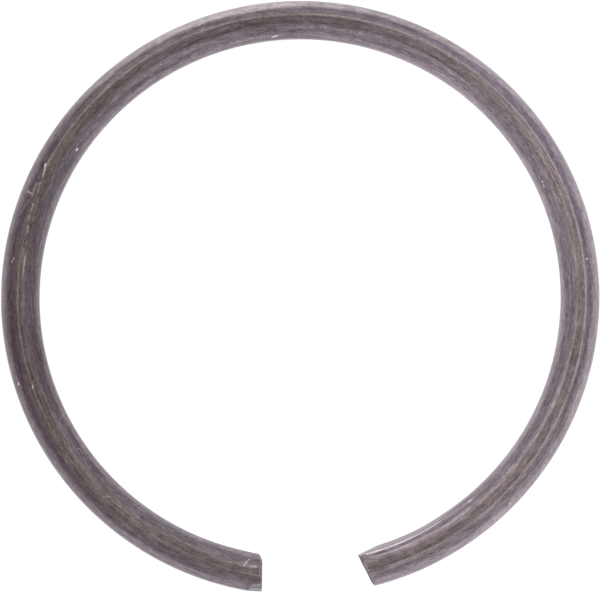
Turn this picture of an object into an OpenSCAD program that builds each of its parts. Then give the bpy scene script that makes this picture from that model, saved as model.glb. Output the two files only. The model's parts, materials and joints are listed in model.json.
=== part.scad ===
/* [Ring] */
// Diameter of the round spring wire
wire_d = 2.5; // [1.6:0.1:4]
// Inside diameter of the free ring, which closes on the bottom of a shaft's groove
inner_d = 33.5; // [24:0.5:60]

/* [Gap] */
// Angle between the two ends, seen from the ring's centre, at the middle of the wire
gap_angle = 21.5; // [14:0.5:50]
// Slant of the left cut from a radius: its outer corner reaches further into the gap
left_slant = 7; // [0:0.5:20]
// Slant of the right cut from a radius: its inner corner reaches further into the gap
right_slant = 14; // [0:0.5:20]

/* [Left end] */
// Length along the wire of the knocked-off inner corner
left_nick_run = 0.36; // [0.1:0.01:0.6]
// Depth of the knocked-off inner corner at the cut
left_nick_depth = 0.5; // [0.1:0.01:0.6]
// Length along the wire of the flat that the shear pressed on the outer side
left_flat_run = 1.28; // [0.6:0.02:2.5]
// Depth of that outer flat at the cut
left_flat_depth = 0.31; // [0.1:0.01:0.5]
// Height of that outer flat round the wire, in degrees above its outermost line
left_flat_lift = 15; // [0:1:45]

/* [Right end] */
// Length along the wire of the flat that the shear pressed on the inner side
right_flat_run = 1.1; // [0.6:0.02:2.5]
// Depth of that inner flat at the cut
right_flat_depth = 0.33; // [0.1:0.01:0.5]
// Height of that inner flat round the wire, in degrees above its innermost line
right_flat_lift = 6; // [0:1:45]

/* [Hidden] */
$fn = 128;
// Radius of the circle that the middle of the wire follows
mid_r = (inner_d + wire_d) / 2;
half_gap = gap_angle / 2;
// How far each cutter reaches past the middle of the wire
reach = 0.7 * wire_d;
LEFT = -1;
RIGHT = 1;
OUTWARD = 0;
INWARD = 180;

// A point on a cut, at this distance outwards from the middle of the wire.
// The cut runs through the middle of the wire's end, at an angle from straight down.
function on_cut(side, along_angle, out) =
    [side * mid_r * sin(half_gap) + out * sin(along_angle),
     -mid_r * cos(half_gap) - out * cos(along_angle)];

// What the shear took out between the two ends, seen from above
module gap_outline() {
    left_angle = left_slant - half_gap;
    right_angle = right_slant + half_gap;
    polygon([on_cut(LEFT, left_angle, -reach), on_cut(LEFT, left_angle, reach),
             on_cut(RIGHT, right_angle, reach), on_cut(RIGHT, right_angle, -reach)]);
}

// Places what follows at one end: +X points along the wire into the gap, -Y outwards
module at_end(side) {
    rotate([0, 0, side * half_gap])
        translate([0, -mid_r, 0])
            mirror([side == RIGHT ? 1 : 0, 0, 0])
                children();
}

// A flat at one end. It starts on the wire's surface at run from the cut, and is depth
// deep at the cut. Clock turns it round the wire: 0 faces outwards, 90 up, 180 inwards.
module end_flat(side, clock, run, depth) {
    slope = atan(depth / run);
    at_end(side)
        rotate([90 - clock, 0, 0])
            translate([-run, 0, wire_d / 2])
                rotate([0, slope, 0])
                    translate([-run, -wire_d, 0])
                        cube([2 * run + 2 * wire_d, 2 * wire_d, wire_d]);
}

// One turn of round wire, sheared to length, with the marks that the shear left
module retaining_ring() {
    color([0.43, 0.4, 0.41])
        difference() {
            rotate_extrude()
                translate([mid_r, 0])
                    circle(d = wire_d);
            linear_extrude(height = 2 * wire_d, center = true)
                gap_outline();
            end_flat(LEFT, INWARD, left_nick_run, left_nick_depth);
            end_flat(LEFT, OUTWARD + left_flat_lift, left_flat_run, left_flat_depth);
            end_flat(RIGHT, INWARD - right_flat_lift, right_flat_run, right_flat_depth);
        }
}

retaining_ring();
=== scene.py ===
import json
import math
import bpy
import numpy as np
from mathutils import Matrix, Vector


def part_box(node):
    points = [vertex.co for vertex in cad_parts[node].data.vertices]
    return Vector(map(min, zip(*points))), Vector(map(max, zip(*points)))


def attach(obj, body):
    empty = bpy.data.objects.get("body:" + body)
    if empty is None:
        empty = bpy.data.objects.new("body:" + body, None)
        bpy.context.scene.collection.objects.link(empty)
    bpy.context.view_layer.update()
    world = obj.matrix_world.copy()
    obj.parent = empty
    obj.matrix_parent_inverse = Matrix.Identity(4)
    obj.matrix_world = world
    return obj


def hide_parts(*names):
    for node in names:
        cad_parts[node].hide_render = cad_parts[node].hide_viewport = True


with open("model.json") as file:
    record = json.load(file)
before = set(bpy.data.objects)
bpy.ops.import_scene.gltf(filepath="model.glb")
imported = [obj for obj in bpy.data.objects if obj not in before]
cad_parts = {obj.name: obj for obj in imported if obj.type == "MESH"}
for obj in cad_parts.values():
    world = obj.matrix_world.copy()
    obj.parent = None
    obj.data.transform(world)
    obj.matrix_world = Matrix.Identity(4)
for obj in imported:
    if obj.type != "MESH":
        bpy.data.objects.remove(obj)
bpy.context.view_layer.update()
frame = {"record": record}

# Lengths are in mm, and MM turns them to metres. The ring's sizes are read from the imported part.
MM = 0.001
mounts = {mount["name"]: mount for mount in frame["record"]["mounts"]}
outer_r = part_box("retaining_ring")[1].x / MM
inner_r = mounts["shaft_groove"]["dims"]["r_mm"]
mid_r = (outer_r + inner_r) / 2
wire_r = (outer_r - inner_r) / 2
UP = np.array([0.0, 0.0, 1.0])

# Clock angles go round the wire in degrees: 0 faces away from the ring's centre, 90 up, 180 inwards.
# Girth is the length round the wire from its top, outwards, and run is the length along it from the left cut.
SEAM = -90.0
CLOCKS = 240

# Rows of points along the wire: over a cut's rounded edge, along the sheared stretch, and beyond it
EDGE_ROWS = 6
FINE_STEP = 0.05
FINE_RUN = 2.6
WIDE_STEP = 0.4
# Run over which the slant of a cut fades out of the rows
SLANT_RUN = 3.0
# Run over which the burr on a cut's rim rises, on the wire's side
BURR_RUN = 0.2
# Angles over a cut's rounded edge between which its skin turns to torn steel
TORN_OVER = (math.radians(45), math.radians(85))
# Rounding of the line where a flat meets the skin, and run over which a flat's ledge rises
CREASE = 0.03
LEDGE = 0.12
# Rings of points from a cut's rim to its middle, as shares of the way out
FACE_RINGS = np.array([0.96, 0.9, 0.78, 0.62, 0.42, 0.2])
# Rounds in which the points near a cut are turned into it, as their turn and their depth depend on each other
FIT_PASSES = 4
# Least cosine that a flat's or a band's distance is divided by, so that it stays finite beside it
LEAST_COSINE = 0.15
# Height at which a burr is fully bare, and how bare the top of a ridge is
BURR_BARE = 0.05
RIDGE_SHINE = 0.25
# Torn grain on a cut face: its height, its two wavelengths, and the distance from the rim at which it is full
TORN_HEIGHT = 0.02
TORN_COARSE = 0.35
TORN_FINE = 0.12
TORN_FROM_RIM = 0.25
# How far in over the cut face a burr's fold reaches
BURR_FOLD = 0.14


def soft_step(value, start, stop):
    """0 before start and 1 after stop, with 3 t squared less 2 t cubed between them."""
    t = np.clip((value - start) / (stop - start), 0, 1)
    return t * t * (3 - 2 * t)


def bell(value, half_width):
    """1 at zero, falling off as exp(-x squared), with x counted in half widths."""
    return np.exp(-((value / half_width) ** 2))


def between(value, stops):
    """A value read off the line through (place, value) stops."""
    where, values = np.array(stops, float).T
    return np.interp(value, where, values)


def soft_min(first, second, blend):
    """The smaller of two lengths, rounded by a parabola where they cross, and the second one's share."""
    share = np.clip(0.5 + 0.5 * (first - second) / blend, 0, 1)
    return first + (second - first) * share - blend * share * (1 - share), share


def ripple(points, wavelength, seed):
    """An irregular relief from -1 to 1: a sum of cosines that run in random directions."""
    random = np.random.default_rng(seed)
    waves = 16
    directions = random.normal(size=(waves, 3))
    directions /= np.linalg.norm(directions, axis=1)[:, None]
    lengths = wavelength * random.uniform(0.6, 1.8, waves)
    phases = random.uniform(0, 2 * math.pi, waves)
    angles = points @ (directions / lengths[:, None]).T * 2 * math.pi + phases
    return np.clip(np.cos(angles).sum(-1) / math.sqrt(waves), -1, 1)


def girth_at(clock):
    """Length round the wire from its top, outwards, for a clock angle in radians."""
    return wire_r * (math.pi / 2 - clock)


def stroke(run, girth, start, stop, half_width):
    """A mark between two (run, girth) places on the skin: a bell of the distance to the line between them."""
    (x0, y0), (x1, y1) = start, stop
    length = math.hypot(x1 - x0, y1 - y0)
    share = np.clip(((run - x0) * (x1 - x0) + (girth - y0) * (y1 - y0)) / length**2, 0, 1)
    return bell(np.hypot(run - x0 - share * (x1 - x0), girth - y0 - share * (y1 - y0)), half_width)


class WireEnd:
    """One sheared end of the wire: where its cut lies, and the marks that the shear left on it.
    edge, the radius of the cut's rounded edge, and burr, the height of its rim, are (clock, mm) stops.
    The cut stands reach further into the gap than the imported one.
    A flat is (clock, run, depth, ledge, shine): a plane that stops at a ledge, which is also (clock, mm)
    stops, and how bare it is.
    A band is (clock, depth, full, gone): a flat that follows the wire, and the runs over which it fades.
    A ridge is (start, stop, half width, height), from (run, girth) places that are counted from the cut.
    The cut leans by lean degrees, its lower half into the gap."""

    def __init__(self, mount, edge, burr, reach, lean, flats, bands, ridges, seed):
        self.normal = np.array(mount["axis"])
        self.middle = np.array(mount["pos_m"]) / MM + reach * self.normal
        across = np.cross(self.normal, UP)
        self.outward = across * np.sign(across @ self.middle)
        self.azimuth = math.atan2(self.middle[1], self.middle[0])
        self.out = np.array([math.cos(self.azimuth), math.sin(self.azimuth), 0.0])
        turning = np.cross(UP, self.out)
        self.into_gap = float(np.sign(turning @ self.normal))
        self.along = turning * self.into_gap
        self.edge = edge
        self.burr = burr
        self.lean = math.tan(math.radians(lean))
        self.flats = flats
        self.bands = bands
        self.ridges = ridges
        self.seed = seed

    def cut_turn(self, radius, height):
        """The turn from the end's azimuth to where a circle of this radius round the axis meets the cut.
        The way out along the cut is the root of a quadratic."""
        reach = self.middle @ self.outward
        way = np.sqrt(reach**2 - mid_r**2 + radius**2) - reach
        x = self.middle[0] + way * self.outward[0]
        y = self.middle[1] + way * self.outward[1]
        return np.arctan2(y, x) - self.azimuth - self.into_gap * self.lean * height / radius

    def limits(self, clock, azimuth, distance):
        """For each flat and band, how far from the wire's middle line it lies in the direction of each point.
        A flat is a plane that meets the skin at run from the cut, and is depth deep at the cut."""
        out = np.stack([np.cos(azimuth), np.sin(azimuth), np.zeros_like(azimuth)], -1)
        spoke = np.cos(clock)[..., None] * out + np.sin(clock)[..., None] * UP
        for flat_clock, run, depth, ledge, shine in self.flats:
            turn = math.radians(flat_clock)
            facing = math.cos(turn) * self.out + math.sin(turn) * UP
            slope = math.atan(depth / run)
            normal = math.sin(slope) * self.along + math.cos(slope) * facing
            start = self.middle + wire_r * facing - run * self.along
            plane = (normal @ start - mid_r * out @ normal) / np.maximum(spoke @ normal, LEAST_COSINE)
            stop = between(np.degrees(clock), ledge)
            raised = plane + 2 * wire_r * soft_step(distance, stop, stop + LEDGE)
            yield np.where(distance < stop + LEDGE, raised, 2 * wire_r), shine
        for band_clock, depth, full, gone in self.bands:
            sunk = wire_r - depth * (1 - soft_step(distance, full, gone))
            yield sunk / np.maximum(np.cos(clock - math.radians(band_clock)), LEAST_COSINE), 0

    def burr_height(self, clock):
        """How far the rim stands out into the gap: its stops, with a light ripple."""
        rim = np.stack([np.cos(clock), np.sin(clock), 0 * clock], -1) * wire_r
        return between(np.degrees(clock), self.burr) * (0.9 + 0.15 * ripple(rim, 0.5, self.seed))


def rows_from_cut(end, clock, half_length):
    """Each point's distance from the cut, how far it lies under the wire's skin, and how far it is torn.
    A quarter circle goes over the rounded edge, close rows cover the sheared stretch, wide ones the rest."""
    edge = between(np.degrees(clock), end.edge)
    quarter = np.radians(np.linspace(90, 0, EDGE_ROWS))[:, None]
    fine = np.arange(FINE_STEP, FINE_RUN, FINE_STEP)[:, None]
    wide = np.linspace(FINE_RUN, half_length, round((half_length - FINE_RUN) / WIDE_STEP))[:, None]
    distance = np.concatenate([
        edge * (1 - np.sin(quarter)),
        fine + edge * (1 - fine / FINE_RUN),
        wide + 0 * edge,
    ])
    inset = np.zeros_like(distance)
    inset[:EDGE_ROWS] = edge * (1 - np.cos(quarter))
    sheared = np.zeros_like(distance)
    sheared[:EDGE_ROWS] = soft_step(quarter, *TORN_OVER)
    return distance, inset, sheared


def half_wire(end, clock, half_length):
    """The wire from one cut to the point opposite the gap, in rows of points round it.
    A point lies at mid_r + depth cos(clock) from the ring's axis and depth sin(clock) above its plane.
    Its azimuth is its row's, turned near the cut so that the first row lies in the cut.
    Flats and bands cut the depth short, with a soft minimum, and ridges add to it."""
    distance, inset, sheared = rows_from_cut(end, clock, half_length)
    clock = clock + 0 * distance
    row_azimuth = end.azimuth - end.into_gap * distance / mid_r
    slanting = 1 - soft_step(distance, 0, SLANT_RUN)
    depth = np.full_like(distance, wire_r)
    for _ in range(FIT_PASSES):
        turn = end.cut_turn(mid_r + depth * np.cos(clock), depth * np.sin(clock))
        azimuth = row_azimuth + slanting * turn
        depth = np.full_like(distance, wire_r)
        pressed = np.zeros_like(distance)
        for limit, shine in end.limits(clock, azimuth, distance):
            depth, share = soft_min(depth, limit, CREASE)
            pressed = np.maximum(pressed, share * shine)
    torn = np.zeros_like(distance)
    for start, stop, half_width, height in end.ridges:
        mark = stroke(distance, girth_at(clock), start, stop, half_width)
        depth = depth + height * mark
        torn = np.maximum(torn, RIDGE_SHINE * mark)
    depth = depth - inset
    burr = end.burr_height(clock) * (1 - soft_step(distance, 0, BURR_RUN))
    azimuth = azimuth + end.into_gap * burr / mid_r
    out = mid_r + depth * np.cos(clock)
    return {
        "points": np.stack([out * np.cos(azimuth), out * np.sin(azimuth), depth * np.sin(clock)], -1),
        "distance": distance,
        "bare": np.maximum(np.maximum(pressed, torn), np.clip(burr / BURR_BARE, 0, 1)),
        "sheared": sheared,
    }


def cut_face(end, rim, clock):
    """The sheared face inside a rim: the rim drawn in to the cut's middle, in rings from the rim on.
    Its torn grain is a ripple along the cut's normal that rises from the rim, where the burr falls off."""
    burr = end.burr_height(clock)
    shares = FACE_RINGS[:, None]
    rings = end.middle + shares[..., None] * (rim - burr[:, None] * end.along - end.middle)
    inside = (1 - shares) * wire_r + 0 * clock
    grain = ripple(rings, TORN_COARSE, end.seed + 1) + 0.5 * ripple(rings, TORN_FINE, end.seed + 2)
    fold = burr * (1 - soft_step(inside, 0, BURR_FOLD))
    lift = TORN_HEIGHT * grain * soft_step(inside, 0, TORN_FROM_RIM) + fold
    shine = np.clip(fold / BURR_BARE, 0, 1)
    return {
        "points": rings + lift[..., None] * end.normal,
        "distance": -inside,
        "bare": shine,
        "sheared": 1 - 0.9 * shine,
    }


def end_rows(end, clock, half_length):
    """One half of the ring as rows of points, from its cut face's middle to the point opposite the gap."""
    skin = half_wire(end, clock, half_length)
    face = cut_face(end, skin["points"][0], clock)
    return {name: np.concatenate([face[name][::-1], skin[name]]) for name in skin}


def ring_surface(left, right):
    """The whole skin as rows of points, from the left cut's middle to the right one's, with what each point
    is: its run and clock angle, and how far it is bare or sheared."""
    gap = abs(right.azimuth - left.azimuth)
    half_length = mid_r * (2 * math.pi - gap) / 2
    clock = np.radians(SEAM + np.arange(CLOCKS) * 360 / CLOCKS)
    first = end_rows(left, clock, half_length)
    second = end_rows(right, clock, half_length)
    second["run"] = 2 * half_length - second["distance"]
    first["run"] = first["distance"]
    surface = {name: np.concatenate([first[name], second[name][-2::-1]]) for name in first}
    surface["clock"] = clock + 0 * surface["run"]
    surface["length"] = 2 * half_length
    return surface


def ring_faces(rows):
    """Corner numbers of the faces between rows of points that close on themselves, and of the two fans that
    close the ends. The two middle points come after all the rows."""
    here = np.arange(rows * CLOCKS).reshape(rows, CLOCKS)
    after = np.roll(here, -1, axis=1)
    sides = np.stack([here[:-1], after[:-1], after[1:], here[1:]], -1).reshape(-1, 4)
    first = np.stack([np.full(CLOCKS, rows * CLOCKS), after[0], here[0]], -1)
    last = np.stack([here[-1], after[-1], np.full(CLOCKS, rows * CLOCKS + 1)], -1)
    return sides, np.concatenate([first, last])


def wire_mesh(name, surface, ends):
    """Puts the surface into a mesh, with its map: run along the wire and girth round it, both in mm."""
    rows = len(surface["run"])
    points = np.concatenate([surface["points"].reshape(-1, 3), [end.middle for end in ends]])
    sides, fans = ring_faces(rows)
    corners = np.concatenate([sides.ravel(), fans.ravel()])
    totals = np.concatenate([np.full(len(sides), 4), np.full(len(fans), 3)])
    mesh = bpy.data.meshes.new(name)
    mesh.vertices.add(len(points))
    mesh.vertices.foreach_set("co", (points * MM).astype(np.float32).ravel())
    mesh.loops.add(len(corners))
    mesh.loops.foreach_set("vertex_index", corners.astype(np.int32))
    mesh.polygons.add(len(totals))
    mesh.polygons.foreach_set("loop_start", (np.cumsum(totals) - totals).astype(np.int32))
    mesh.polygons.foreach_set("use_smooth", np.ones(len(totals), bool))
    mesh.update(calc_edges=True)
    mesh.validate()
    run = np.concatenate([surface["run"].ravel(), [-wire_r, surface["length"] + wire_r]])
    column = np.arange(CLOCKS)[:, None] + np.array([0, 1, 1, 0])
    side_columns = np.broadcast_to(column, (rows - 1, CLOCKS, 4)).ravel()
    fan_columns = np.concatenate([
        (np.arange(CLOCKS)[:, None] + np.array([0.5, 1, 0])).ravel(),
        (np.arange(CLOCKS)[:, None] + np.array([0, 1, 0.5])).ravel(),
    ])
    turns = np.concatenate([side_columns, fan_columns]) / CLOCKS
    girth = girth_at(math.radians(SEAM) + turns * 2 * math.pi)
    wire_map = mesh.uv_layers.new(name="WireMap")
    wire_map.data.foreach_set("uv", np.stack([run[corners], girth], -1).astype(np.float32).ravel())
    return mesh


def keep_value(mesh, name, values, middles):
    """Stores one value for each point of the mesh: the rows' values, then those of the two middle points."""
    attribute = mesh.attributes.new(name, "FLOAT", "POINT")
    attribute.data.foreach_set("value", np.concatenate([values.ravel(), middles]).astype(np.float32))


def keep_place(mesh, name, places, middles):
    """Stores one place for each point of the mesh, as a vector."""
    attribute = mesh.attributes.new(name, "FLOAT_VECTOR", "POINT")
    every = np.concatenate([places.reshape(-1, 3), middles])
    attribute.data.foreach_set("vector", every.astype(np.float32).ravel())


left_end = WireEnd(
    mounts["left_end_face"],
    edge=[
        (-90, 0.04), (-30, 0.02), (5, 0.02), (30, 0.12), (140, 0.15), (165, 0.04), (190, 0.02), (270, 0.04),
    ],
    burr=[(-90, 0), (270, 0)],
    reach=0.015,
    lean=0.5,
    flats=[
        (180, 0.36, 0.46, [(0, FINE_RUN)], 0.1),
        (15, 1.65, 0.26, [(-10, 0.85), (21, 0.7), (38, 0.57), (55, 0.5)], 0.0),
    ],
    bands=[(180, 0.05, 0.4, 1.8)],
    ridges=[
        ((1.04, -0.33), (0.97, -0.5), 0.04, 0.012),
        ((0.97, -0.5), (0.8, -0.8), 0.04, 0.01),
        ((1.04, -0.3), (0.64, -0.24), 0.04, 0.006),
        ((0.68, -0.24), (0.34, -0.27), 0.05, 0.015),
    ],
    seed=11,
)
right_end = WireEnd(
    mounts["right_end_face"],
    edge=[(-90, 0.03), (60, 0.04), (85, 0.1), (110, 0.2), (140, 0.15), (160, 0.04), (180, 0.03), (270, 0.03)],
    burr=[(-75, 0), (-62, 0.03), (-45, 0.045), (-30, 0.03), (-15, 0)],
    reach=0.05,
    lean=0.9,
    flats=[(174, 1.1, 0.25, [(0, FINE_RUN)], 0.1)],
    bands=[(160, 0.17, 3.9, 7.5)],
    ridges=[],
    seed=23,
)

# Girth of the fine bright line that the drawing die left, along the run
TOOL_LINE = [
    (0, 0.27), (4, 0.14), (18, 0.1), (28.6, 0.11), (30.5, 0.03), (32.7, 0.12), (34.6, 0.32), (39, 0.26),
    (53, 0.19), (66, 0.27), (76, 0.34), (107, 0.35),
]
# How strongly that line shows along the run
TOOL_LINE_SHOWS = [
    (0, 0.5), (8, 0.3), (13, 0.3), (20, 0.65), (28, 0.65), (29, 0.3), (33, 0.3), (41, 0.6), (57, 0.9),
    (98, 1.0), (104.5, 0.8), (105.5, 0),
]
# How light the skin is along the run, before the lighter crest, the streaks, the painted sheens and the painted
# crease highlight
SKIN_ALONG = [
    (0, 0.9), (8, 0.87), (22, 0.56), (42, 0.97), (57, 1.02), (66, 1.18), (83, 1.0), (100, 1.3), (107, 1.3),
]
# How much lighter the crest is, along the run: partly rubbed to a lighter brown, partly a painted sheen of the
# light overhead
CREST_RUB_AND_SHEEN = [
    (0, 0.75), (25, 0.85), (36, 0.45), (50, 0.28), (62, 0.75), (75, 1.35), (82, 1.0), (90, 0.9), (101, 0.35),
]
# Soft streaks along the wire, and near the right cut a painted highlight along the crease: (run, girth, half
# width, gain) stops, where a gain below 0 is a darker streak
STREAKS_AND_CREASE_HIGHLIGHT = [
    [(0, 0.59, 0.26, -0.3), (10, 0.58, 0.26, -0.3), (20, 0.6, 0.28, -0.4), (33, 0.48, 0.26, -0.4),
     (38, 0.46, 0.22, -0.28), (42, 0.5, 0.2, 0)],
    [(0, -0.93, 0.09, 0.25), (8, -0.95, 0.09, 0.3), (11, -0.95, 0.09, 0)],
    [(8, -0.16, 0.12, 0), (11, -0.18, 0.12, 0.25), (20, -0.2, 0.12, 0.35), (26.7, -0.2, 0.1, 0.3),
     (26.9, -0.2, 0.07, 1.3), (28.4, -0.18, 0.07, 1.1), (28.6, -0.18, 0.07, 0)],
    [(28.2, 0.02, 0.05, 0), (28.4, 0.02, 0.05, 0.8), (28.9, 0.0, 0.05, 0.8), (29.1, 0.0, 0.05, 0)],
    [(22, -0.05, 0.05, 0), (24, -0.05, 0.05, -0.3), (29, -0.07, 0.05, -0.3), (30, -0.1, 0.05, 0)],
    [(44, -0.28, 0.08, 0), (47, -0.3, 0.09, -0.2), (58, -0.36, 0.11, -0.22), (64, -0.38, 0.13, -0.38),
     (68, -0.47, 0.11, -0.28), (72, -0.5, 0.09, -0.22), (74, -0.5, 0.09, 0)],
    [(53, -0.64, 0.07, 0), (57, -0.64, 0.08, 0.2), (62, -0.65, 0.08, 0.35), (66, -0.66, 0.08, 0.3),
     (68, -0.68, 0.08, 0)],
    [(50, 0.48, 0.12, 0), (55, 0.48, 0.13, -0.15), (69, 0.5, 0.13, -0.15), (78, 0.6, 0.19, -0.28),
     (89, 0.64, 0.16, -0.3), (96, 0.63, 0.15, -0.22), (106, 0.66, 0.14, -0.24)],
    [(73, -0.06, 0.07, 0), (75, -0.06, 0.07, 0.3), (79, -0.06, 0.07, 0.25), (81, -0.08, 0.08, 0)],
    [(78, -0.22, 0.06, 0), (80, -0.22, 0.06, 0.45), (86, -0.21, 0.06, 0.45), (92, -0.3, 0.07, 0.3),
     (95, -0.35, 0.07, 0)],
    [(75, -0.5, 0.14, 0), (80, -0.5, 0.15, -0.24), (86, -0.52, 0.14, -0.3), (91, -0.6, 0.1, -0.2),
     (94, -0.6, 0.1, 0)],
    [(80, -1.0, 0.08, 0), (84, -1.02, 0.08, 0.2), (90, -1.0, 0.08, 0.35), (94, -0.98, 0.08, 0)],
    [(88, -0.3, 0.1, 0), (92, -0.36, 0.12, 0.2), (96, -0.4, 0.13, 0.22), (99, -0.48, 0.12, 0.2),
     (106, -0.5, 0.12, 0.15)],
    [(66, 0.02, 0.05, 0), (68, 0.02, 0.05, 0.3), (70, 0.0, 0.05, 0.3), (71, -0.02, 0.05, 0)],
    [(71, -0.05, 0.05, 0), (72.5, -0.03, 0.05, 0.45), (74, -0.05, 0.05, 0.45), (75, -0.07, 0.05, 0)],
    [(97, -0.5, 0.07, 0), (99, -0.5, 0.07, 0.3), (104, -0.47, 0.07, 0.3), (106, -0.45, 0.07, 0.1)],
    [(97, -0.7, 0.05, 0), (100, -0.67, 0.05, -0.3), (104, -0.65, 0.05, -0.45), (106, -0.58, 0.05, -0.35)],
    # Painted highlight: the bright reflection along the crease of the pressed band near the right cut
    [(97, -0.98, 0.06, 0), (100, -0.95, 0.065, 0.9), (103, -0.92, 0.07, 2.0), (106, -0.83, 0.065, 2.2)],
    [(97, -1.45, 0.07, 0), (100, -1.45, 0.07, 0.5), (103, -1.42, 0.07, 0.6), (106, -1.35, 0.07, 0.4)],
    [(95, -1.35, 0.3, 0), (98, -1.35, 0.3, -0.25), (106, -1.3, 0.3, -0.4)],
    [(20, -0.5, 0.2, 0), (24, -0.56, 0.22, -0.2), (32, -0.56, 0.22, -0.2), (37, -0.5, 0.2, 0)],
    [(56, -1.6, 0.28, 0), (63, -1.6, 0.28, 0.2), (92, -1.5, 0.28, 0.2), (96, -1.5, 0.28, 0)],
    [(78, 1.5, 0.28, 0), (82, 1.5, 0.28, 0.18), (92, 1.5, 0.28, 0.18), (96, 1.5, 0.28, 0)],
    [(0, 1.3, 0.35, -0.45), (0.8, 1.4, 0.3, -0.45), (1.0, 1.45, 0.25, 0)],
]
# How much lighter the outer side of the wire is painted than the rest, along the run: a painted sheen
OUTER_SHEEN_ALONG = [
    (30, 0), (38, 0.08), (44, 0.7), (50.5, 1.5), (57, 0.8), (63, 0.35), (70, 0.25), (79, 0.4), (89, 0.3),
    (98, 0.05), (101, 0),
]
# Girth at which that painted sheen starts, along the run
OUTER_SHEEN_START = [(44, 0.66), (50, 0.54), (57, 0.64), (63, 0.66), (75, 0.6)]
# How brown the crest is, along the run: partly a rubbed tint, partly a painted warm reflection of the light
# overhead
CREST_BROWN_AND_WARM_SHEEN = [(38, 1), (44, 0.7), (58, 0.65), (64, 0.75)]
# How violet the oxide is on the outer flank, along the run
OUTER_VIOLET = [(52, 0), (62, 1), (80, 1), (90, 0)]
# How light the skin is where it is darkest along the run
DARKEST_SKIN = min(light for place, light in SKIN_ALONG)


def painted_outer_sheen(run, girth):
    """How much lighter the skin is painted on the wire's outer side, over the stretch opposite the gap: a
    painted sheen.
    """
    start = between(run, OUTER_SHEEN_START)
    side = soft_step(girth, start, start + 0.2)
    side = side * (1 - 0.4 * soft_step(girth, 1.0, 1.4)) * (1 - soft_step(girth, 1.7, 2.4))
    return between(run, OUTER_SHEEN_ALONG) * side


def skin_tone(run, girth):
    """How light the skin is at each point: the tone along the run, the crest made lighter by rubbing and a
    painted sheen, the streaks with a painted crease highlight, a painted sheen on the limbs where the skin is
    dark, and a painted sheen on the outer side."""
    tone = between(run, SKIN_ALONG)
    # The crest made lighter: partly rubbing, partly a painted sheen of the light overhead
    tone = tone * (1 + 0.9 * between(run, CREST_RUB_AND_SHEEN) * bell(girth + 0.04, 0.36))
    # The streaks, with the painted crease highlight among them
    for stops in STREAKS_AND_CREASE_HIGHLIGHT:
        places, girths, widths, gains = np.array(stops, float).T
        centre = np.interp(run, places, girths)
        width = np.interp(run, places, widths)
        tone = tone * (1 + np.interp(run, places, gains, left=0, right=0) * bell(girth - centre, width))
    # Painted sheen on the limbs: lighter where the skin along the run is dark
    limb_sheen = soft_step(np.abs(girth), 0.9, 1.3)
    darkness = (1 - between(run, SKIN_ALONG).clip(0, 1)) / (1 - DARKEST_SKIN)
    tone = tone * (1 + 0.3 * limb_sheen * darkness)
    # Painted sheen: the outer side made lighter
    return tone * (1 + painted_outer_sheen(run, girth))


def build_ring():
    """The ring's one piece of wire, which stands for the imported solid, with what its finish needs to know."""
    surface = ring_surface(left_end, right_end)
    mesh = wire_mesh("spring_wire_ring", surface, (left_end, right_end))
    ring = bpy.data.objects.new("spring_wire_ring", mesh)
    bpy.context.scene.collection.objects.link(ring)
    run = surface["run"]
    girth = girth_at(surface["clock"])
    line = between(run, TOOL_LINE)
    twisted = surface["clock"] + line / wire_r
    track = np.stack([wire_r * np.cos(twisted), wire_r * np.sin(twisted), run], -1)
    keep_value(mesh, "bare", surface["bare"], (0, 0))
    keep_value(mesh, "sheared", surface["sheared"], (1, 1))
    keep_value(mesh, "tone", skin_tone(run, girth), (1, 1))
    # The crest's brown share: partly a rubbed tint, partly a painted warm reflection
    keep_value(mesh, "brown", bell(girth - 0.03, 0.5) * between(run, CREST_BROWN_AND_WARM_SHEEN), (0, 0))
    keep_value(mesh, "violet", bell(girth - 0.68, 0.28) * between(run, OUTER_VIOLET), (0, 0))
    # Share of the painted sheen on the outer side, which pales the hue
    keep_value(mesh, "pale", np.clip(painted_outer_sheen(run, girth) / 0.6, 0, 1), (0, 0))
    keep_value(mesh, "tool_line", line, (0, 0))
    keep_value(mesh, "tool_line_shows", between(run, TOOL_LINE_SHOWS), (0, 0))
    keep_place(mesh, "track", track, [(0, 0, -wire_r), (0, 0, surface["length"] + wire_r)])
    return ring


ring = build_ring()
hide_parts("retaining_ring")
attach(ring, "root")


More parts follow.
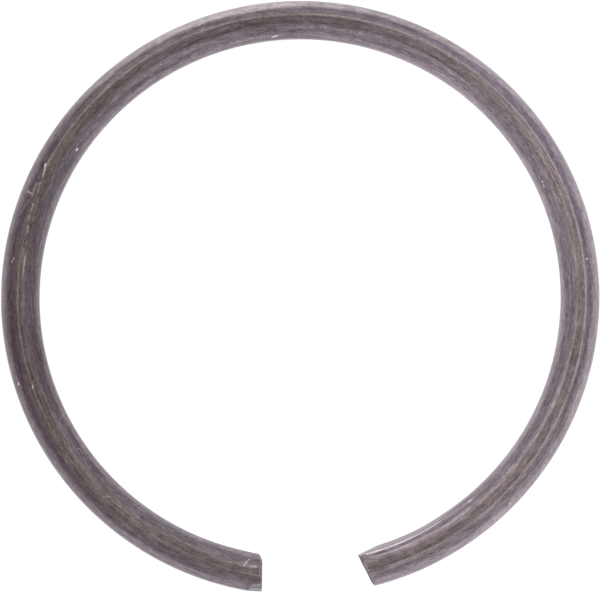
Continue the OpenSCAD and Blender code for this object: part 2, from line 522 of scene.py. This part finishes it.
class Nodes:
    """Adds nodes to a tree. Each method gives back the socket that its node puts out."""

    def __init__(self, tree):
        self.tree = tree

    def add(self, kind, **settings):
        """A new node of this kind, with its settings. Gives back the node."""
        node = self.tree.nodes.new(kind)
        for name, value in settings.items():
            setattr(node, name, value)
        return node

    def feed(self, socket, value):
        """Links a socket to another one, or gives it a plain value."""
        if isinstance(value, bpy.types.NodeSocket):
            self.tree.links.new(value, socket)
        else:
            socket.default_value = value

    def fill(self, node, **values):
        """Feeds a node's inputs by their names, with _ for a space."""
        for name, value in values.items():
            self.feed(node.inputs[name.replace("_", " ")], value)
        return node.outputs[0]

    def calc(self, operation, *values, clamp=False):
        """One step of arithmetic on numbers."""
        node = self.add("ShaderNodeMath", operation=operation, use_clamp=clamp)
        for socket, value in zip(node.inputs, values):
            self.feed(socket, value)
        return node.outputs[0]

    def vector(self, operation, *values):
        """One step of arithmetic on vectors. A length or a dot product comes back as a number."""
        node = self.add("ShaderNodeVectorMath", operation=operation)
        for socket, value in zip(node.inputs, values):
            self.feed(socket, value)
        return node.outputs["Value" if operation in ("LENGTH", "DOT_PRODUCT") else "Vector"]

    def scaled(self, place, factor):
        """A vector times a number."""
        node = self.add("ShaderNodeVectorMath", operation="SCALE")
        self.feed(node.inputs[0], place)
        self.feed(node.inputs["Scale"], factor)
        return node.outputs["Vector"]

    def fade(self, value, start, stop, low=0.0, high=1.0):
        """Goes smoothly from low, at start, to high, at stop."""
        node = self.add("ShaderNodeMapRange", interpolation_type="SMOOTHSTEP")
        for socket, part in zip(node.inputs, (value, start, stop, low, high)):
            self.feed(socket, part)
        return node.outputs[0]

    def mix(self, share, first, second):
        """The first colour where share is 0, the second where it is 1."""
        node = self.add("ShaderNodeMix", data_type="RGBA")
        self.feed(node.inputs[0], share)
        self.feed(node.inputs[6], first)
        self.feed(node.inputs[7], second)
        return node.outputs[2]

    def noise(self, place, scale, detail=2.0, roughness=0.5):
        """Noise between 0 and 1 at a place in space."""
        node = self.add("ShaderNodeTexNoise")
        return self.fill(node, Vector=place, Scale=scale, Detail=detail, Roughness=roughness)

    def stored(self, name, output="Fac"):
        """What the mesh stores under this name."""
        return self.add("ShaderNodeAttribute", attribute_name=name).outputs[output]

    def group(self, tree, **values):
        """A node group with its inputs fed. Gives back the node, as it may have several outputs."""
        node = self.add("ShaderNodeGroup", node_tree=tree)
        self.fill(node, **values)
        return node


def new_group(name, inputs, outputs):
    """An empty node group with named sockets, and its input and output nodes."""
    tree = bpy.data.node_groups.new(name, "ShaderNodeTree")
    for socket, kind in inputs.items():
        tree.interface.new_socket(socket, in_out="INPUT", socket_type="NodeSocket" + kind)
    for socket in outputs:
        tree.interface.new_socket(socket, in_out="OUTPUT", socket_type="NodeSocketFloat")
    nodes = Nodes(tree)
    return nodes, nodes.add("NodeGroupInput").outputs, nodes.add("NodeGroupOutput").inputs


def draw_lines_group():
    """What drawing through a die leaves: fine lines, short scuffs, and a cloudier oxide. All are noise on the
    track. Its third number, the run, is shrunk by Stretch, so that the noise is drawn out along the wire."""
    inputs = {"Track": "Vector", "Stretch": "Float"}
    nodes, given, out = new_group("draw_lines", inputs, ("Lines", "Scuffs", "Clouds"))
    stretched = nodes.add("ShaderNodeCombineXYZ")
    parts = nodes.add("ShaderNodeSeparateXYZ")
    nodes.feed(parts.inputs[0], given["Track"])
    nodes.feed(stretched.inputs[0], parts.outputs[0])
    nodes.feed(stretched.inputs[1], parts.outputs[1])
    nodes.feed(stretched.inputs[2], nodes.calc("MULTIPLY", parts.outputs[2], given["Stretch"]))
    fine = nodes.noise(stretched.outputs[0], 8.0, 3.0, 0.7)
    broad = nodes.noise(stretched.outputs[0], 2.6, 2.0)
    nodes.feed(out["Lines"], nodes.calc("MULTIPLY_ADD", fine, 0.65, nodes.calc("MULTIPLY", broad, 0.35)))
    shorter = nodes.vector("MULTIPLY", given["Track"], (1.0, 1.0, 0.28))
    nodes.feed(out["Scuffs"], nodes.noise(shorter, 9.0, 2.0, 0.6))
    nodes.feed(out["Clouds"], nodes.noise(nodes.scaled(given["Track"], 0.8), 1.6, 3.0, 0.6))
    return nodes.tree


def scratch_group():
    """A mark along a line on the wire's map: full on the line from From, Length long in the direction Along,
    and gone at Width from it. The distance to the line is the length of what is left of the way from From
    once the part along it, clamped to the line's length, is taken off."""
    inputs = {"Place": "Vector", "From": "Vector", "Along": "Vector", "Length": "Float", "Width": "Float"}
    nodes, given, out = new_group("scratch", inputs, ("Mask",))
    way = nodes.vector("SUBTRACT", given["Place"], given["From"])
    reach = nodes.calc("MINIMUM", nodes.vector("DOT_PRODUCT", way, given["Along"]), given["Length"])
    reach = nodes.calc("MAXIMUM", reach, 0.0)
    aside = nodes.vector("LENGTH", nodes.vector("SUBTRACT", way, nodes.scaled(given["Along"], reach)))
    nodes.feed(out["Mask"], nodes.fade(aside, given["Width"], nodes.calc("MULTIPLY", given["Width"], 0.3)))
    return nodes.tree


# The camera looks down on the ring's centre from CAMERA_DISTANCE, tilted off the axis towards an azimuth.
# PICTURE_UP is the azimuth at the top of the picture, and PICTURE_WIDTH what it spans. Angles are in degrees.
CAMERA_TILT = 6.9
CAMERA_TOWARDS = 274.65
CAMERA_DISTANCE = 400
PICTURE_UP = 87.15
PICTURE_WIDTH = 38.59


def seen_at(azimuth, out):
    """The (run, girth) place that shows at this azimuth in the picture, in degrees, and this far out from the
    wire's middle line, in mm. The camera's tilt and its nearness both turn the wire's visible side."""
    turned = math.radians(azimuth + PICTURE_UP - 90)
    run = mid_r * ((left_end.azimuth - turned) % (2 * math.pi))
    tilted = math.radians(CAMERA_TILT) * math.cos(turned - math.radians(CAMERA_TOWARDS))
    return run, wire_r * (math.asin(out / wire_r) + tilted - mid_r / CAMERA_DISTANCE)


# Torn flecks beside the left cut: from and to, as (run, girth) places, then the width and how bare they are
TORN_FLECKS = [
    ((0.8, -0.7), (0.85, -0.7), 0.08, 0.65),
    ((1.0, -0.5), (1.0, -0.45), 0.08, 0.85),
    ((1.1, -0.35), (1.1, -0.25), 0.08, 0.8),
    ((0.7, -0.2), (0.5, -0.25), 0.08, 0.55),
    ((0.5, -0.25), (0.35, -0.25), 0.1, 0.75),
]
# Marks of handling, the same way, but from and to are (azimuth, out) places as seen from the camera
SEEN_MARKS = [
    ((226.5, 0.25), (226, 0.15), 0.07, 0.15),
    ((226, 0.05), (227, -0.25), 0.07, 0.3),
    ((217, -0.15), (217, -0.15), 0.09, 0.3),
    ((215, -0.7), (215, -0.7), 0.09, 0.3),
    ((217, -0.9), (215, -0.8), 0.08, 0.12),
    ((209.5, 0), (206.5, -1.05), 0.08, 0.07),
    ((199.3, 0.15), (199, 0.1), 0.08, 0.8),
    ((199, 0.1), (198, -0.05), 0.07, 0.3),
    ((197.7, 0.95), (197.5, 0.95), 0.1, 0.8),
    ((184, 0.85), (183.5, 0.6), 0.06, 0.1),
    ((173.5, 0.7), (172.5, 0.6), 0.06, 0.4),
    ((176, -0.1), (174, -0.1), 0.07, 0.2),
    ((174, -0.1), (172, -0.1), 0.09, 0.24),
    ((172, 0.05), (170.5, 0.05), 0.07, 0.24),
    ((169.5, 0), (169, 0), 0.09, 0.25),
    ((167, 0.05), (165.7, 0.15), 0.08, 0.38),
    ((164.5, -0.05), (161, 0.05), 0.07, 0.16),
    ((164.5, 0.2), (163.5, 0.25), 0.07, 0.35),
    ((162.5, 0.2), (161, 0.25), 0.07, 0.48),
    ((164, 0.85), (160.5, 0.55), 0.07, 0.13),
    ((159.2, 0.5), (159, 0.85), 0.1, 0.3),
    ((159.5, 0.5), (157, 0.5), 0.15, 0.14),
    ((158.5, 0.2), (156.5, 0.35), 0.07, 0.32),
    ((155, 0.35), (153.5, 0.45), 0.08, 0.5),
    ((153.2, 0.5), (152.5, 0.55), 0.08, 0.85),
    ((146.8, -0.7), (146.5, -0.7), 0.11, 1.0),
    ((139.5, -1.15), (139.5, -1.15), 0.1, 0.6),
    ((121, -0.4), (121, -0.4), 0.09, 0.2),
    ((96, -1.0), (95, -0.95), 0.1, 0.75),
    ((77, -0.4), (76.5, -0.5), 0.09, 0.17),
    ((35.5, 0.3), (35, 0.3), 0.14, 0.12),
    ((25, -0.7), (25, -0.7), 0.1, 1.0),
    ((24.3, -0.75), (24, -0.75), 0.09, 0.6),
    ((7, 0.6), (7, 0.6), 0.1, 0.8),
    ((-10, -0.25), (-12, 0.1), 0.08, 0.06),
    ((-15, 0.2), (-16, 0.05), 0.08, 0.25),
    ((-45, 0.95), (-45, 0.95), 0.1, 0.6),
    ((-50.6, -0.9), (-50.8, -0.9), 0.13, 1.0),
]
SCRATCHES = TORN_FLECKS + [
    (seen_at(*start), seen_at(*stop), width, share) for start, stop, width, share in SEEN_MARKS
]


def scratch_mask(nodes, place):
    """All the handling marks on the wire's map, each as bare as its share says."""
    scratch = scratch_group()
    total = None
    for start, stop, width, share in SCRATCHES:
        step = Vector(stop) - Vector(start)
        line = {"From": (*start, 0), "Along": (*step.normalized(), 0), "Length": step.length}
        mark = nodes.group(scratch, Place=place, Width=width, **line)
        seen = nodes.calc("MULTIPLY", mark.outputs[0], share)
        total = seen if total is None else nodes.calc("MAXIMUM", total, seen)
    return total


# Colours of the wire: its oxide, the crest's rubbed tint with a painted warm reflection, the outer flank, the
# darkest stretches, the painted sheen on the outer side, the tool line, bare steel, and torn steel from dark to
# light, darkened with painted shade
OXIDE = (0.222, 0.184, 0.213, 1)
# The crest's colour: partly rubbed oxide, partly a painted warm reflection
RUBBED_OXIDE_AND_WARM_SHEEN = (0.216, 0.177, 0.172, 1)
VIOLET_OXIDE = (0.219, 0.177, 0.228, 1)
DARK_OXIDE = (0.25, 0.17, 0.205, 1)
PAINTED_SHEEN_OXIDE = (0.207, 0.182, 0.194, 1)
DRAWN_BRIGHT = (0.53, 0.468, 0.462, 1)
BARE_STEEL = (0.86, 0.79, 0.8, 1)
# Torn steel on the cuts, made dark as painted shade of the shadow beside each cut
TORN_STEEL_PAINTED_SHADE_DARK = (0.07, 0.055, 0.06, 1)
TORN_STEEL_PAINTED_SHADE_LIGHT = (0.16, 0.135, 0.14, 1)
# Distance that the bump's relief is counted in
BUMP = 0.006


def tool_line_mask(nodes, track, wire_map, grain):
    """The bright line at its stored girth: full within 0.02 of it and gone at 0.085, wavy by noise, and
    broken by a broad noise and by the grain."""
    wobble = nodes.noise(track, 7.0, 2.0)
    girth = nodes.add("ShaderNodeSeparateXYZ")
    nodes.feed(girth.inputs[0], wire_map)
    beside = nodes.calc("SUBTRACT", girth.outputs[1], nodes.stored("tool_line"))
    beside = nodes.calc("MULTIPLY_ADD", nodes.calc("SUBTRACT", wobble, 0.5), 0.06, beside)
    line = nodes.fade(nodes.calc("ABSOLUTE", beside), 0.085, 0.02)
    broken = nodes.fade(nodes.noise(nodes.scaled(track, 0.5), 2.2, 3.0, 0.7), 0.34, 0.54, 0.45, 1.0)
    broken = nodes.calc("MULTIPLY", broken, nodes.fade(grain, 0.34, 0.6, 0.45, 1.1))
    return nodes.calc("MULTIPLY", nodes.calc("MULTIPLY", line, broken), nodes.stored("tool_line_shows"))


def bare_mask(nodes, track, wire_map, grain):
    """Where bare steel shows: the marks, made ragged by noise, scattered flecks, and what the mesh stores."""
    jitter = nodes.add("ShaderNodeTexNoise")
    nodes.fill(jitter, Vector=track, Scale=9.0, Detail=2.0)
    ragged = nodes.scaled(nodes.vector("SUBTRACT", jitter.outputs["Color"], (0.5, 0.5, 0.5)), 0.1)
    scratches = scratch_mask(nodes, nodes.vector("ADD", wire_map, ragged))
    flecks = nodes.fade(nodes.noise(track, 4.2, 2.0, 0.75), 0.735, 0.775)
    bare = nodes.calc("MAXIMUM", scratches, nodes.calc("MULTIPLY", flecks, 0.4))
    bare = nodes.calc("MAXIMUM", bare, nodes.stored("bare"))
    return nodes.calc("MULTIPLY", bare, nodes.fade(grain, 0.25, 0.55, 0.55, 1.0), clamp=True)


def oxide_colour(nodes, lines, scuffs, clouds, grain):
    """The oxide's hue by its stored shares, with the crest's painted warm reflection and the outer side's
    painted sheen, times its stored tone, draw lines, scuffs, clouds and grain.
    """
    # Painted warm reflection on the crest, with its rubbed tint
    hue = nodes.mix(nodes.stored("brown"), OXIDE, RUBBED_OXIDE_AND_WARM_SHEEN)
    hue = nodes.mix(nodes.stored("violet"), hue, VIOLET_OXIDE)
    hue = nodes.mix(nodes.fade(nodes.stored("tone"), 0.75, 0.4), hue, DARK_OXIDE)
    # Painted sheen on the outer side: a paler hue
    hue = nodes.mix(nodes.stored("pale"), hue, PAINTED_SHEEN_OXIDE)
    tone = nodes.calc("MULTIPLY", nodes.stored("tone"), nodes.calc("MULTIPLY_ADD", lines, 2.4, -0.2))
    tone = nodes.calc("MULTIPLY", tone, nodes.calc("MULTIPLY_ADD", scuffs, 1.2, 0.4))
    tone = nodes.calc("MULTIPLY", tone, nodes.calc("MULTIPLY_ADD", clouds, 0.5, 0.75))
    tone = nodes.calc("MULTIPLY", tone, nodes.calc("MULTIPLY_ADD", grain, 1.3, 0.35))
    return nodes.vector("MULTIPLY", hue, nodes.scaled((1, 1, 1), tone))


def skin_bump(nodes, track, lines, grain, bare, sheared):
    """The fine relief: draw lines and grain, sunk where the steel is bare, and rough noise on the cuts."""
    relief = nodes.calc("SUBTRACT", lines, nodes.calc("MULTIPLY", bare, 0.4))
    relief = nodes.calc("MULTIPLY_ADD", grain, 0.35, relief)
    relief = nodes.calc("ADD", relief, nodes.calc("MULTIPLY", sheared, nodes.noise(track, 5.0, 4.0, 0.7)))
    bump = nodes.add("ShaderNodeBump")
    nodes.feed(bump.inputs["Height"], relief)
    bump.inputs["Distance"].default_value = BUMP * MM
    return bump.outputs[0]


def skin_material():
    """Drawn spring wire with a dark, slightly pink oxide skin: fine lines along it, a brown crest, partly
    rubbed and partly a painted warm sheen, painted sheens on the outer side and the limbs, a painted crease
    highlight, one bright tool line, bare flecks and scratches, and dull torn steel on the cuts, darkened with
    painted shade."""
    material = bpy.data.materials.new("drawn_spring_wire")
    material.use_nodes = True
    nodes = Nodes(material.node_tree)
    shader = material.node_tree.nodes["Principled BSDF"]
    track = nodes.stored("track", "Vector")
    wire_map = nodes.add("ShaderNodeUVMap", uv_map="WireMap").outputs[0]
    sheared = nodes.stored("sheared")
    lines, scuffs, clouds = nodes.group(draw_lines_group(), Track=track, Stretch=0.09).outputs
    grain = nodes.noise(track, 14.0, 2.0, 0.6)
    bare = bare_mask(nodes, track, wire_map, grain)

    skin = oxide_colour(nodes, lines, scuffs, clouds, grain)
    skin = nodes.mix(tool_line_mask(nodes, track, wire_map, grain), skin, DRAWN_BRIGHT)
    skin = nodes.mix(bare, skin, BARE_STEEL)
    # Torn steel, darkened with painted shade
    torn = nodes.mix(grain, TORN_STEEL_PAINTED_SHADE_DARK, TORN_STEEL_PAINTED_SHADE_LIGHT)
    nodes.feed(shader.inputs["Base Color"], nodes.mix(sheared, skin, torn))
    rough = nodes.calc("MULTIPLY_ADD", clouds, 0.12, 0.21)
    rough = nodes.calc("MULTIPLY_ADD", nodes.calc("SUBTRACT", lines, 0.5), 0.15, rough)
    nodes.feed(shader.inputs["Roughness"], nodes.calc("MULTIPLY_ADD", sheared, 0.3, rough, clamp=True))
    metal = nodes.calc("MULTIPLY_ADD", sheared, -0.5, 1.0)
    nodes.feed(shader.inputs["Metallic"], nodes.calc("MULTIPLY_ADD", bare, -0.6, metal, clamp=True))
    nodes.feed(shader.inputs["Normal"], skin_bump(nodes, track, lines, grain, bare, sheared))
    return material


ring.data.materials.append(skin_material())


# Side of the white sheet, and how far it lies under the wire
SHEET_SIDE = 1500
SHEET_UNDER = 0.003


def lay_floor():
    """A white sheet under the ring: it shows white to the camera and to reflections, and keeps the shadow."""
    bpy.ops.mesh.primitive_plane_add(size=SHEET_SIDE * MM, location=(0, 0, -(wire_r + SHEET_UNDER) * MM))
    floor = bpy.context.object
    floor.name = "white_sheet"
    material = bpy.data.materials.new("white_sheet")
    material.use_nodes = True
    nodes = Nodes(material.node_tree)
    shader = material.node_tree.nodes["Principled BSDF"]
    shader.inputs["Base Color"].default_value = (0.8, 0.8, 0.8, 1)
    shader.inputs["Roughness"].default_value = 0.9
    shader.inputs["Emission Color"].default_value = (1, 1, 1, 1)
    light_path = nodes.add("ShaderNodeLightPath").outputs
    camera_share = nodes.calc("MULTIPLY", light_path["Is Camera Ray"], 0.7)
    glow = nodes.calc("MULTIPLY_ADD", light_path["Is Glossy Ray"], 0.6, camera_share)
    nodes.feed(shader.inputs["Emission Strength"], glow)
    floor.data.materials.append(material)


# The room's light by height, from straight down at 0 to straight up at 1: warm and weaker overhead
ROOM_LIGHT = [
    (0.0, (0.7, 0.7, 0.7)), (0.5, (0.9, 0.9, 0.9)), (0.6, (0.82, 0.82, 0.82)), (0.68, (0.8, 0.8, 0.8)),
    (0.78, (0.86, 0.86, 0.86)), (0.86, (0.95, 0.95, 0.95)), (0.91, (0.85, 0.85, 0.85)),
    (0.94, (0.55, 0.55, 0.55)), (0.97, (0.44, 0.43, 0.42)), (1.0, (0.42, 0.41, 0.4)),
]


def light_room():
    """Soft light from all round, by the height of the direction. The camera sees plain white."""
    world = bpy.data.worlds.new("pale_room")
    bpy.context.scene.world = world
    world.use_nodes = True
    nodes = Nodes(world.node_tree)
    height = nodes.add("ShaderNodeSeparateXYZ")
    nodes.feed(height.inputs[0], nodes.add("ShaderNodeTexCoord").outputs["Generated"])
    ramp = nodes.add("ShaderNodeValToRGB")
    nodes.feed(ramp.inputs[0], nodes.calc("MULTIPLY_ADD", height.outputs[2], 0.5, 0.5))
    elements = ramp.color_ramp.elements
    while len(elements) < len(ROOM_LIGHT):
        elements.new(1.0)
    for element, (where, colour) in zip(elements, ROOM_LIGHT):
        element.position = where
        element.color = (*colour, 1)
    seen = nodes.add("ShaderNodeLightPath").outputs["Is Camera Ray"]
    nodes.feed(world.node_tree.nodes["Background"].inputs[0], nodes.mix(seen, ramp.outputs[0], (1, 1, 1, 1)))


lay_floor()
light_room()


def aim_camera():
    """A long lens that looks down on the ring, a little off its axis on the gap's side."""
    tilt = math.radians(CAMERA_TILT)
    towards = math.radians(CAMERA_TOWARDS)
    picture_up = math.radians(PICTURE_UP)
    distance = CAMERA_DISTANCE * MM
    back = Vector((math.sin(tilt) * math.cos(towards), math.sin(tilt) * math.sin(towards), math.cos(tilt)))
    up = Vector((math.cos(picture_up), math.sin(picture_up), 0))
    up = (up - up.dot(back) * back).normalized()
    right = up.cross(back)
    camera = bpy.data.objects.new("camera", bpy.data.cameras.new("camera"))
    bpy.context.scene.collection.objects.link(camera)
    turned = Matrix((right, up, back)).transposed().to_4x4()
    camera.matrix_world = Matrix.Translation(back * distance) @ turned
    camera.data.lens = camera.data.sensor_width * distance / (PICTURE_WIDTH * MM)
    camera.data.clip_start = 0.01
    camera.data.clip_end = 10
    bpy.context.scene.camera = camera


aim_camera()
bpy.context.scene.view_settings.view_transform = "Standard"
